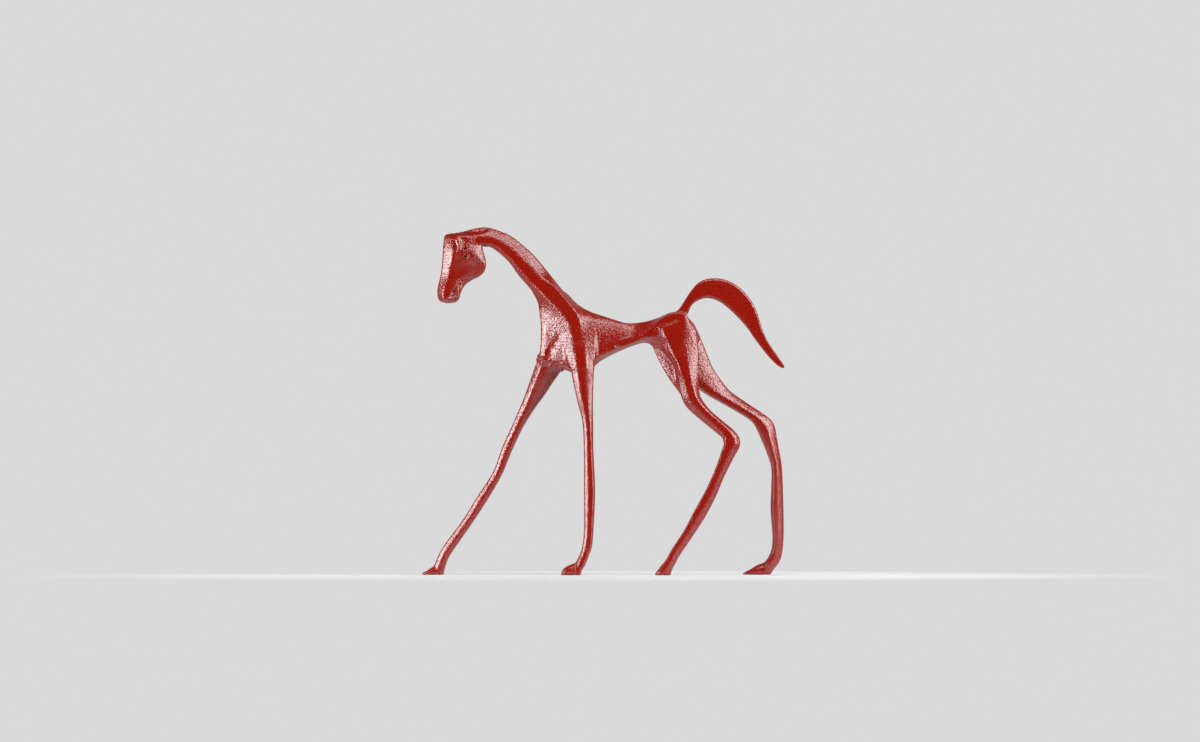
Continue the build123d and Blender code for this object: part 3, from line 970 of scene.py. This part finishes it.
def near_hind_leg(trunk: Trunk) -> Leg:
    """The hind leg nearer the camera, bent at the hock."""
    rows = (
        (0.04, 0.005, 0.80, 1.18, 0.12),
        (0.12, 0.080, 0.90, 1.00, 0.32),
        (0.19, 0.141, 0.70, 1.00, 0.43),
        (0.215, 0.193, 0.58, 0.94, 0.50),
        (0.235, 0.250, 0.52, 0.83, 0.55),
        (0.29, 0.306, 0.46, 0.75, 0.59),
        (0.45, 0.358, 0.37, 0.70, 0.62),
        (0.64, 0.404, 0.35, 0.65, 0.65),
        (0.785, 0.440, 0.37, 0.65, 0.68),
        (0.84, 0.476, 0.43, 0.64, 0.71),
        (0.78, 0.518, 0.37, 0.60, 0.74),
        (0.65, 0.602, 0.30, 0.54, 0.79),
        (0.53, 0.678, 0.32, 0.55, 0.83),
        (0.37, 0.761, 0.33, 0.56, 0.88),
        (0.21, 0.837, 0.28, 0.54, 0.92),
        (0.05, 0.904, 0.27, 0.56, 0.96),
        (-0.03, 0.944, 0.27, 0.59, 0.98),
        (-0.085, 0.971, 0.29, 0.63, 0.99),
        (-0.128, 1.003, 0.32, 0.62, 1.00),
    )
    flats = (
        (0.00, -0.15, 0.75), (0.06, -0.15, 0.65), (0.11, -0.05, 0.70), (0.17, -0.07, 0.62),
        (0.22, -0.35, 0.25), (0.28, -0.50, 0.20), (0.35, -0.60, 0.25), (0.45, -0.40, 0.70),
        (0.50, -0.30, 0.90), (0.60, 0.00, 0.90), (1.00, -0.10, 0.90),
    )
    return Leg(
        "near_hind_leg", trunk, Side.NEAR, rows, flats, top_shares=trunk.hip_shares, sweep=70.0,
        half_width=19.0, half_depth=10.0, track=trunk.hind_track, joint_station=4,
        toe_rows=TOE_ROWS, toe_reach=9.5, instep=12.0, press=8.0, edge_share=0.35,
    )


def far_hind_leg(trunk: Trunk) -> Leg:
    """The hind leg set further back."""
    rows = (
        (0.037, 0.000, 0.81, 0.70, 0.12),
        (0.135, 0.075, 0.96, 0.95, 0.33),
        (0.200, 0.139, 0.94, 1.00, 0.43),
        (0.262, 0.187, 0.85, 0.95, 0.49),
        (0.349, 0.231, 0.72, 0.86, 0.53),
        (0.486, 0.282, 0.49, 0.74, 0.57),
        (0.642, 0.326, 0.42, 0.67, 0.60),
        (0.770, 0.364, 0.43, 0.65, 0.63),
        (0.856, 0.406, 0.57, 0.65, 0.66),
        (0.893, 0.457, 0.49, 0.62, 0.69),
        (0.925, 0.505, 0.41, 0.57, 0.72),
        (0.957, 0.566, 0.35, 0.53, 0.76),
        (0.962, 0.650, 0.38, 0.52, 0.81),
        (0.962, 0.739, 0.42, 0.53, 0.86),
        (0.971, 0.840, 0.37, 0.51, 0.91),
        (0.962, 0.900, 0.36, 0.52, 0.95),
        (0.935, 0.937, 0.39, 0.58, 0.97),
        (0.885, 0.969, 0.37, 0.63, 0.98),
        (0.850, 1.005, 0.25, 0.57, 0.99),
    )
    flats = (
        (0.00, 0.60, 0.90), (0.22, 0.50, 0.90), (0.32, 0.10, 0.90), (0.40, 0.00, 0.90),
        (0.55, 0.00, 0.70), (0.65, 0.10, 0.60), (1.00, 0.00, 0.60),
    )
    return Leg(
        "far_hind_leg", trunk, Side.FAR, rows, flats, top_shares=trunk.hip_shares, sweep=110.0,
        half_width=16.0, half_depth=10.5, track=trunk.hind_track, joint_station=4,
        toe_rows=TOE_ROWS, toe_reach=23.0, instep=12.5, edge_share=0.10,
    )


@dataclass
class Tail:
    """The tail: a thin blade, cupped on both faces, that arches up from the croup."""
    trunk: Trunk
    reach: float = 103.0
    height: float = 91.0
    half_width: float = 11.4
    half_depth: float = 4.4
    root_shares: tuple = (0.932, 0.433)
    joint_station: int = 1
    seam_half_width: float = 1.2
    seam_reach: float = 12.0
    # Shares: the place along the reach and up the height, the half width and the half depth
    rows: tuple = (
        (-0.063, 0.566, 0.47, 0.95),
        (0.000, 0.643, 0.44, 0.95),
        (0.047, 0.736, 0.38, 0.95),
        (0.107, 0.811, 0.52, 0.98),
        (0.190, 0.877, 0.77, 1.00),
        (0.288, 0.893, 0.91, 1.00),
        (0.388, 0.866, 0.99, 0.95),
        (0.479, 0.800, 1.02, 0.91),
        (0.565, 0.703, 0.96, 0.82),
        (0.633, 0.593, 0.81, 0.75),
        (0.687, 0.480, 0.61, 0.66),
        (0.734, 0.373, 0.48, 0.59),
        (0.798, 0.258, 0.39, 0.55),
        (0.871, 0.147, 0.34, 0.48),
        (0.940, 0.059, 0.25, 0.39),
        (0.985, 0.011, 0.09, 0.20),
    )
    flats: tuple = ((0.0, -0.2, 0.2), (0.2, -0.5, 0.4), (0.5, -0.74, 0.6), (1.0, -0.6, 0.4))

    def stroke(self) -> Stroke:
        """The tail's clay."""
        root_x, root_z = self.trunk.point(*self.root_shares)
        root_share = self.rows[self.joint_station][1]
        centres = [
            (root_x + self.reach * row[0], 0.0, root_z + self.height * (row[1] - root_share))
            for row in self.rows
        ]
        widths = [(self.half_width * row[2], self.half_depth * row[3]) for row in self.rows]
        return Stroke(
            stations_along(centres, widths, self.flats), facet_share=0.85, ridge_round=0.8,
            edge_round_share=0.1, edge_share=0.4, cup_share=0.45, press=1.5,
        )

    def seam(self) -> Seam:
        """The seam where the tail is welded to the croup."""
        station = self.stroke().stations[self.joint_station]
        return Seam("tail", station, self.seam_half_width, self.seam_reach)


class Wiring:
    """Adds nodes to a tree, sets them and wires them up."""

    def __init__(self, tree: bpy.types.NodeTree) -> None:
        """Hold the tree."""
        self.tree = tree

    def add(self, kind: str, inputs: dict | None = None, **settings: str) -> bpy.types.Node:
        """Add a node.

        Args:
            kind: Blender's name for the kind of node.
            inputs: What its inputs get, by their names or numbers.
            settings: The node's own settings.

        Returns:
            The node.
        """
        node = self.tree.nodes.new(kind)
        for name, value in settings.items():
            setattr(node, name, value)
        self.feed(node, inputs or {})
        return node

    def feed(self, node: bpy.types.Node, inputs: dict) -> None:
        """Give inputs of a node a value each, or the output of another node."""
        for name, value in inputs.items():
            if isinstance(value, bpy.types.NodeSocket):
                self.tree.links.new(value, node.inputs[name])
            else:
                node.inputs[name].default_value = value

    def math(self, operation: str, *values: bpy.types.NodeSocket | float) -> bpy.types.NodeSocket:
        """The output of a math node."""
        return self.add("ShaderNodeMath", dict(enumerate(values)), operation=operation).outputs[0]

    def fade(self, inputs: dict) -> bpy.types.NodeSocket:
        """The output of a soft step between two values."""
        node = self.add("ShaderNodeMapRange", inputs, interpolation_type="SMOOTHSTEP")
        return node.outputs["Result"]

    def blend(self, inputs: dict) -> bpy.types.NodeSocket:
        """The output of a mix of two colours."""
        return self.add("ShaderNodeMix", inputs, data_type="RGBA").outputs["Result"]


def new_material(name: str) -> tuple[bpy.types.Material, bpy.types.Node, Wiring]:
    """A new material, its shader and the wiring of its tree."""
    material = bpy.data.materials.new(name)
    material.use_nodes = True
    return material, material.node_tree.nodes["Principled BSDF"], Wiring(material.node_tree)


@dataclass(frozen=True)
class RedEnamel:
    """Semi-gloss red enamel sprayed over a brushed casting, whose broad side faces are rubbed
    smoother than the rest. rubbed_from and rubbed_at are how squarely a face looks to the side
    where the rubbing starts and is full. The brush's width and length are in millimetres, and its
    height and the size of the patches of tint are in metres."""
    name: str = "red_enamel"
    colour: tuple = (0.30, 0.007, 0.002, 1.0)
    thin_colour: tuple = (0.35, 0.011, 0.003, 1.0)
    roughness: float = 0.18
    gloss: float = 1.0
    refraction: float = 1.5
    brush_width: float = 1.2
    brush_length: float = 2.0
    brush_height: float = 0.00036
    brush_detail: float = 0.6
    brush_detail_share: float = 0.4
    brush_bend: float = 0.2
    brush_strength: float = 1.0
    rubbed_strength: float = 0.45
    rubbed_from: float = 0.95
    rubbed_at: float = 0.992
    tint_size: float = 0.004
    tint_detail: float = 2.0

    def material(self) -> bpy.types.Material:
        """Build the material."""
        material, shader, wiring = new_material(self.name)
        skin_frame = wiring.add("ShaderNodeAttribute", attribute_name=BRUSH_LAYER)
        stretch = wiring.add("ShaderNodeMapping", {
            "Vector": skin_frame.outputs["Vector"],
            "Scale": (1 / self.brush_width, 1 / self.brush_length, 1 / self.brush_length),
        })
        brush = wiring.add("ShaderNodeTexNoise", {
            "Vector": stretch.outputs["Vector"], "Scale": 1.0, "Detail": self.brush_detail,
            "Roughness": self.brush_detail_share, "Distortion": self.brush_bend,
        })
        surface = wiring.add("ShaderNodeNewGeometry")
        facing = wiring.add("ShaderNodeSeparateXYZ", {0: surface.outputs["Normal"]})
        strength = wiring.fade({
            "Value": wiring.math("ABSOLUTE", facing.outputs["Y"]),
            "From Min": self.rubbed_from, "From Max": self.rubbed_at,
            "To Min": self.brush_strength, "To Max": self.rubbed_strength,
        })
        bump = wiring.add("ShaderNodeBump", {
            "Strength": strength, "Distance": self.brush_height, "Height": brush.outputs["Fac"],
        })
        patches = wiring.add("ShaderNodeTexNoise", {
            "Vector": wiring.add("ShaderNodeTexCoord").outputs["Object"],
            "Scale": 1 / self.tint_size, "Detail": self.tint_detail,
        })
        wiring.feed(shader, {
            "Base Color": wiring.blend({
                "A": self.colour, "B": self.thin_colour, "Factor": patches.outputs["Fac"],
            }),
            "Normal": bump.outputs["Normal"],
            "Roughness": self.roughness, "Specular IOR Level": self.gloss, "IOR": self.refraction,
        })
        return material


@dataclass(frozen=True)
class DowelSteel:
    """Plain turned steel of the locating dowels."""
    name: str = "dowel_steel"
    colour: tuple = (0.50, 0.50, 0.51, 1.0)
    roughness: float = 0.35
    spread_share: float = 0.2
    turning_scale: float = 900.0

    def material(self) -> bpy.types.Material:
        """Build the material."""
        material, shader, wiring = new_material(self.name)
        turning = wiring.add("ShaderNodeTexNoise", {
            "Vector": wiring.add("ShaderNodeTexCoord").outputs["Object"],
            "Scale": self.turning_scale,
        })
        spread = wiring.add("ShaderNodeMapRange", {
            "Value": turning.outputs["Fac"],
            "To Min": self.roughness * (1 - self.spread_share),
            "To Max": self.roughness * (1 + self.spread_share),
        })
        wiring.feed(shader, {
            "Base Color": self.colour, "Metallic": 1.0, "Roughness": spread.outputs["Result"],
        })
        return material


@dataclass(frozen=True)
class CastSkin:
    """The uneven skin of a rough casting: slow swells, and short brush marks across each limb."""
    swell_size: float = 5.0
    swell_height: float = 0.18
    brush_width: float = 2.0
    brush_length: float = 4.0
    brush_height: float = 0.12
    sole_height: float = 2.0
    noise_detail: float = 1.0
    seed: float = 7.0

    def tree(self) -> bpy.types.GeometryNodeTree:
        """Build the node tree, with its sizes as named inputs."""
        tree = bpy.data.node_groups.new("cast_skin", "GeometryNodeTree")
        tree.interface.new_socket("Geometry", in_out="INPUT", socket_type="NodeSocketGeometry")
        for name in ("Swell size", "Swell height", "Brush width", "Brush length", "Brush height",
                     "Sole height", "Noise detail", "Seed"):
            tree.interface.new_socket(name, in_out="INPUT", socket_type="NodeSocketFloat")
        tree.interface.new_socket("Enamel", in_out="INPUT", socket_type="NodeSocketMaterial")
        tree.interface.new_socket("Geometry", in_out="OUTPUT", socket_type="NodeSocketGeometry")
        wiring = Wiring(tree)
        given = wiring.add("NodeGroupInput").outputs
        place = wiring.add("GeometryNodeInputPosition").outputs[0]
        brush = wiring.add(
            "GeometryNodeInputNamedAttribute", {"Name": BRUSH_LAYER}, data_type="FLOAT_VECTOR"
        ).outputs["Attribute"]
        offsets = []
        for vector, sizes, high in (
            (place, ("Swell size", "Swell size", "Swell size"), "Swell height"),
            (brush, ("Brush width", "Brush length", "Brush length"), "Brush height"),
        ):
            size = wiring.add(
                "ShaderNodeCombineXYZ", dict(enumerate(given[name] for name in sizes))
            )
            shrunk = wiring.add(
                "ShaderNodeVectorMath", {0: vector, 1: size.outputs[0]}, operation="DIVIDE"
            )
            noise = wiring.add("ShaderNodeTexNoise", {
                "Vector": shrunk.outputs[0], "W": given["Seed"], "Scale": 1.0,
                "Detail": given["Noise detail"],
            }, noise_dimensions="4D")
            about_zero = wiring.math("SUBTRACT", noise.outputs["Fac"], 0.5)
            offsets.append(wiring.math("MULTIPLY", about_zero, given[high]))
        height = wiring.add("ShaderNodeSeparateXYZ", {0: place}).outputs["Z"]
        clear = wiring.add(
            "ShaderNodeClamp", {"Value": wiring.math("DIVIDE", height, given["Sole height"])}
        )
        push = wiring.add("ShaderNodeVectorMath", {
            0: wiring.add("GeometryNodeInputNormal").outputs[0],
            "Scale": wiring.math("MULTIPLY", wiring.math("ADD", *offsets), clear.outputs[0]),
        }, operation="SCALE")
        move = wiring.add(
            "GeometryNodeSetPosition", {"Geometry": given["Geometry"], "Offset": push.outputs[0]}
        )
        real = wiring.add("GeometryNodeRealizeInstances", {0: move.outputs[0]})
        dress = wiring.add(
            "GeometryNodeSetMaterial", {"Geometry": real.outputs[0], "Material": given["Enamel"]}
        )
        wiring.add("NodeGroupOutput", {0: dress.outputs[0]})
        return tree

    def apply(self, skin: bpy.types.Object, enamel: bpy.types.Material) -> None:
        """Give the skin its unevenness, as a plain mesh.

        Args:
            skin: The horse's skin, which gets the new mesh.
            enamel: The material that the tree sets.
        """
        modifier = skin.modifiers.new("cast_skin", "NODES")
        modifier.node_group = self.tree()
        sizes = {
            "Swell size": self.swell_size * METRES, "Swell height": self.swell_height * METRES,
            "Brush width": self.brush_width, "Brush length": self.brush_length,
            "Brush height": self.brush_height * METRES, "Sole height": self.sole_height * METRES,
            "Noise detail": self.noise_detail, "Seed": self.seed, "Enamel": enamel,
        }
        for item in modifier.node_group.interface.items_tree:
            if item.in_out == "INPUT" and item.name in sizes:
                modifier[item.identifier] = sizes[item.name]
        graph = bpy.context.evaluated_depsgraph_get()
        made = bpy.data.meshes.new_from_object(skin.evaluated_get(graph))
        skin.modifiers.clear()
        skin.data = made


class Skin:
    """Cuts the horse's skin into its castings and weld rings."""
    cut_half_widths = 4.0       # how far from a cut its faces are looked for, in seam half widths
    rim_digits = 7              # decimals that tell one rim edge from the next

    def __init__(self, mesh: bpy.types.Mesh, seams: list[Seam]) -> None:
        """Hold the whole skin, in metres, and the seams to cut it at."""
        self.seams = seams
        self.rims: dict[tuple[str, int], set[tuple]] = {}
        self.work = bmesh.new()
        self.work.from_mesh(mesh)

    def key(self, edge: bmesh.types.BMEdge) -> tuple:
        """The place of an edge's middle, rounded so that its copies share it."""
        middle = (edge.verts[0].co + edge.verts[1].co) / 2
        return tuple(round(value, self.rim_digits) for value in middle)

    @staticmethod
    def loop_round(edges: set[bmesh.types.BMEdge], middle: Vector) -> set[bmesh.types.BMEdge]:
        """The closed chain of cut edges whose middle lies nearest to a place.

        Args:
            edges: All the edges that a plane cut.
            middle: The place.

        Returns:
            The edges of that chain.
        """
        left, best, least = set(edges), set(), math.inf
        while left:
            chain, queue = set(), [left.pop()]
            while queue:
                edge = queue.pop()
                chain.add(edge)
                linked = {other for vert in edge.verts for other in vert.link_edges} & left
                left -= linked
                queue.extend(linked)
            verts = {vert for edge in chain for vert in edge.verts}
            away = (sum((vert.co for vert in verts), Vector()) / len(verts) - middle).length
            if len(verts) == len(chain) and away < least:
                best, least = chain, away
        return best

    def cut(self) -> None:
        """Cut the skin along both edges of each seam."""
        cuts = set()
        for seam in self.seams:
            reach, half_width = seam.reach * METRES, seam.half_width * METRES
            for sign in (-1, 1):
                place = seam.middle + seam.direction * sign * half_width
                faces = []
                for face in self.work.faces:
                    offset = face.calc_center_median() - place
                    beside = abs(offset.dot(seam.direction))
                    if offset.length < reach and beside < self.cut_half_widths * half_width:
                        faces.append(face)
                edges = {edge for face in faces for edge in face.edges}
                verts = {vert for face in faces for vert in face.verts}
                done = bmesh.ops.bisect_plane(
                    self.work, geom=[*verts, *edges, *faces], plane_co=place,
                    plane_no=seam.direction,
                )["geom_cut"]
                chain = {part for part in done if isinstance(part, bmesh.types.BMEdge)}
                loop = self.loop_round(chain, place)
                self.rims[seam.name, sign] = {self.key(edge) for edge in loop}
                cuts |= loop
        bmesh.ops.split_edges(self.work, edges=list(cuts))

    def islands(self) -> list[list[bmesh.types.BMFace]]:
        """The faces of each separate part."""
        parts, seen = [], set()
        for first in self.work.faces:
            if first in seen:
                continue
            part, queue = [], [first]
            seen.add(first)
            while queue:
                face = queue.pop()
                part.append(face)
                for edge in face.edges:
                    for other in edge.link_faces:
                        if other not in seen:
                            seen.add(other)
                            queue.append(other)
            parts.append(part)
        return parts

    def owner(self, part: list[bmesh.types.BMFace]) -> str:
        """The name of the casting or weld ring that a part is, by the cut rims that it has."""
        rim = {self.key(edge) for face in part for edge in face.edges if edge.is_boundary}
        for seam in self.seams:
            if not rim.isdisjoint(self.rims[seam.name, 1]):
                ring = not rim.isdisjoint(self.rims[seam.name, -1])
                return seam.name if ring else seam.limb
        return "body"

    def part_mesh(self, name: str, part: list[bmesh.types.BMFace]) -> bpy.types.Mesh:
        """A part's faces as a mesh of their own, with its frame for brush marks.

        Args:
            name: The mesh's name.
            part: The faces.

        Returns:
            The mesh.
        """
        corners = {}
        for face in part:
            for vert in face.verts:
                corners.setdefault(vert, len(corners))
        mesh = bpy.data.meshes.new(name)
        mesh.from_pydata(
            [vert.co.copy() for vert in corners], [],
            [[corners[vert] for vert in face.verts] for face in part],
        )
        layer = self.work.loops.layers.float_vector[BRUSH_LAYER]
        brush = mesh.attributes.new(BRUSH_LAYER, "FLOAT_VECTOR", "CORNER")
        brush.data.foreach_set(
            "vector", [value for face in part for loop in face.loops for value in loop[layer]]
        )
        return mesh

    def pieces(self) -> dict[str, bpy.types.Object]:
        """Cut the skin and close each part into an object of its own.

        Returns:
            The objects by the name of the node that each one stands for.
        """
        self.cut()
        made = {}
        for part in self.islands():
            name = self.owner(part)
            if name in made:
                log.warning("two parts for %s: %d faces", name, len(part))
                if len(part) < len(made[name].data.polygons):
                    continue
            mesh = self.part_mesh(f"{name}_skin", part)
            self.close(mesh)
            made[name] = new_object(f"{name}_skin", mesh)
        self.work.free()
        return made

    @staticmethod
    def close(mesh: bpy.types.Mesh) -> None:
        """Close a part's open ends with flat faces that meet the skin at a sharp edge."""
        work = bmesh.new()
        work.from_mesh(mesh)
        rims = [edge for edge in work.edges if edge.is_boundary]
        for face in work.faces:
            face.smooth = True
        for face in bmesh.ops.holes_fill(work, edges=rims, sides=0)["faces"]:
            face.smooth = False
        for edge in rims:
            edge.smooth = False
        bmesh.ops.triangulate(work, faces=[face for face in work.faces if len(face.verts) > 4])
        work.to_mesh(mesh)
        work.free()


def face_to(thing: bpy.types.Object, place: tuple | Vector, aim: tuple | Vector) -> None:
    """Put a lamp or the camera at a place, and turn it towards another one."""
    thing.location = place
    thing.rotation_euler = (Vector(aim) - Vector(place)).to_track_quat("-Z", "Y").to_euler()


def grey(tone: float) -> tuple[float, float, float, float]:
    """A grey colour of that tone."""
    return (tone, tone, tone, 1.0)


@dataclass(frozen=True)
class Softbox:
    """A broad lamp that faces the horse. mirrored is whether the horse's gloss shows it."""
    name: str
    place: tuple
    size: tuple
    power: float
    mirrored: bool = True
    aim: tuple = (0.0, 0.0, 0.17)

    def hang(self) -> None:
        """Add the lamp to the scene."""
        light = bpy.data.lights.new(self.name, "AREA")
        light.shape = "RECTANGLE"
        light.size, light.size_y = self.size
        light.energy = self.power
        lamp = new_object(self.name, light)
        lamp.visible_camera = False
        lamp.visible_glossy = self.mirrored
        face_to(lamp, self.place, self.aim)


@dataclass
class Studio:
    """A pale floor and backdrop, softboxes at the sides, above and behind, and the camera. The
    fades are where the paint's even tone starts and is full, from the horse's middle."""
    camera_distance: float = 3.0
    camera_x: float = -0.0035
    camera_height: float = 0.030
    aim_height: float = 0.2035
    frame_width: float = 1.2
    sensor_width: float = 36.0
    clip_end: float = 50.0
    sheet_turns: int = 96
    floor_radii: tuple = (0.0, 0.4, 0.8, 1.6, 6.0)
    floor_fade: tuple = (0.25, 0.6)
    backdrop_radius: float = 6.0
    backdrop_heights: tuple = (0.0, 3.0, 6.0)
    backdrop_fade: tuple = (0.45, 1.3)
    mirrored_fade_shares: tuple = (-0.3, 0.1)
    mirrored_share: float = 0.45
    paleness: float = 0.70
    near_paleness: float = 0.80
    far_paleness: float = 0.22
    roughness: float = 0.9
    gloss: float = 0.1
    sky_strength: float = 0.05
    softboxes: tuple = (
        Softbox("left_softbox", (-1.04, -0.50, 0.33), (0.52, 0.56), 10.0),
        Softbox("right_softbox", (0.99, -0.53, 0.70), (0.48, 1.34), 14.0),
        Softbox("top_softbox", (0.12, -0.62, 1.22), (0.80, 0.42), 4.2),
        Softbox("back_softbox", (0.20, 1.30, 1.00), (1.20, 1.20), 18.0, mirrored=False),
    )

    def camera(self) -> None:
        """Put the camera where the photograph was taken."""
        lens = bpy.data.cameras.new("camera")
        camera = new_object("camera", lens)
        place = Vector((self.camera_x, -self.camera_distance, self.camera_height))
        aim = Vector((self.camera_x, 0.0, self.aim_height))
        face_to(camera, place, aim)
        lens.sensor_width = self.sensor_width
        lens.lens = lens.sensor_width * (aim - place).length / self.frame_width
        lens.clip_end = self.clip_end
        bpy.context.scene.camera = camera

    def sheet(
        self, name: str, rings: list[tuple], paint: bpy.types.Material
    ) -> bpy.types.Object:
        """A smooth sheet through rings round the horse.

        Args:
            name: The sheet's name.
            rings: The radius and height of each ring.
            paint: The sheet's material.

        Returns:
            The sheet.
        """
        columns = self.sheet_turns + 1
        turns = [math.tau * step / self.sheet_turns for step in range(columns)]
        points = [
            (radius * math.cos(turn), radius * math.sin(turn), height)
            for radius, height in rings for turn in turns
        ]
        faces = []
        for row in range(len(rings) - 1):
            for left in range(row * columns, row * columns + self.sheet_turns):
                faces.append((left, left + 1, left + 1 + columns, left + columns))
        mesh = bpy.data.meshes.new(name)
        mesh.from_pydata(points, [], faces)
        mesh.polygons.foreach_set("use_smooth", [True] * len(mesh.polygons))
        mesh.materials.append(paint)
        return new_object(name, mesh)

    def paint(self, name: str, fade: tuple) -> bpy.types.Material:
        """Pale paint that turns from lit paint into an even pale tone, away from the horse.

        Args:
            name: The material's name.
            fade: How far from the horse's middle the even tone starts, and is full.

        Returns:
            The material.
        """
        paint, shader, wiring = new_material(name)
        place = wiring.add("ShaderNodeTexCoord").outputs["Object"]
        away = wiring.add("ShaderNodeVectorMath", {0: place}, operation="LENGTH").outputs["Value"]
        behind = wiring.add("ShaderNodeSeparateXYZ", {0: place}).outputs["Y"]
        start, end = fade
        mirror_start, mirror_end = (share * end for share in self.mirrored_fade_shares)
        evenness = wiring.fade({"Value": away, "From Min": start, "From Max": end})
        in_mirror = wiring.fade({
            "Value": behind, "From Min": mirror_start, "From Max": mirror_end,
            "To Max": self.mirrored_share,
        })
        ray = wiring.add("ShaderNodeLightPath").outputs
        seen_twice = wiring.math("MULTIPLY", evenness, ray["Is Camera Ray"])
        wiring.feed(shader, {
            "Base Color": wiring.blend({
                "A": grey(self.near_paleness), "B": grey(self.far_paleness),
                "Factor": wiring.math("SUBTRACT", evenness, seen_twice),
            }),
            "Roughness": self.roughness, "Specular IOR Level": self.gloss,
        })
        mirrored = wiring.math("MAXIMUM", ray["Is Glossy Ray"], ray["Is Transmission Ray"])
        mirrored = wiring.math("MULTIPLY", mirrored, in_mirror)
        seen = wiring.math("MAXIMUM", ray["Is Camera Ray"], mirrored)
        even = wiring.add("ShaderNodeEmission", {"Color": grey(self.paleness), "Strength": 1.0})
        mix = wiring.add("ShaderNodeMixShader", {
            "Fac": wiring.math("MULTIPLY", seen, evenness),
            1: shader.outputs[0], 2: even.outputs[0],
        })
        wiring.feed(paint.node_tree.nodes["Material Output"], {"Surface": mix.outputs[0]})
        return paint

    def build(self) -> None:
        """Set the floor, backdrop, lights, world and camera."""
        floor = self.sheet(
            "floor", [(radius, 0.0) for radius in self.floor_radii],
            self.paint("floor_paint", self.floor_fade),
        )
        backdrop = self.sheet(
            "backdrop", [(self.backdrop_radius, height) for height in self.backdrop_heights],
            self.paint("backdrop_paint", self.backdrop_fade),
        )
        for softbox in self.softboxes:
            softbox.hang()
        world = bpy.data.worlds.new("studio")
        world.use_nodes = True
        sky = world.node_tree.nodes["Background"]
        sky.inputs["Color"].default_value = grey(1.0)
        sky.inputs["Strength"].default_value = self.sky_strength
        bpy.context.scene.world = world
        bpy.context.scene.view_settings.view_transform = "Standard"
        self.camera()


def main() -> None:
    """Model the horse, cut it into its pieces, dress them and set the studio."""
    logging.basicConfig(level=logging.INFO, format="%(name)s: %(message)s")
    trunk = Trunk()
    head, tail, far_fore = Head(trunk), Tail(trunk), far_fore_leg(trunk)
    legs = [near_fore_leg(trunk), far_fore, near_hind_leg(trunk), far_hind_leg(trunk)]
    clay = Clay()
    clay.press(trunk.stroke())
    clay.press(trunk.girdle())
    clay.press(head.stroke())
    for leg in legs:
        clay.press(leg.stroke())
        clay.press(leg.toe())
    clay.press(tail.stroke())
    clay.press(FlankFold().stroke())
    for mark in [*trunk.marks(), *head.marks()]:
        clay.draw(mark)
    WeldScar(far_fore.joint()).work_into(clay)
    clay.cut_floor()
    skin = clay.skin("horse_skin")
    log.info("skin of %d faces", len(skin.data.polygons))

    enamel, steel = RedEnamel().material(), DowelSteel().material()
    CastSkin().apply(skin, enamel)
    seams = [trunk.seam(), tail.seam(), *[leg.seam() for leg in legs]]
    pieces = Skin(skin.data, seams).pieces()
    bpy.data.objects.remove(skin)
    for name, piece in pieces.items():
        piece.data.materials.append(enamel)
        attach(piece, "root")
        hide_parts(name)
        log.info("piece %s of %d faces", piece.name, len(piece.data.polygons))
    for name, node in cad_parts.items():
        if name.endswith("_dowel"):
            node.data.materials.clear()
            node.data.materials.append(steel)
            log.info("dowel %s in steel", name)
    Studio().build()


if __name__ == "__main__":
    main()
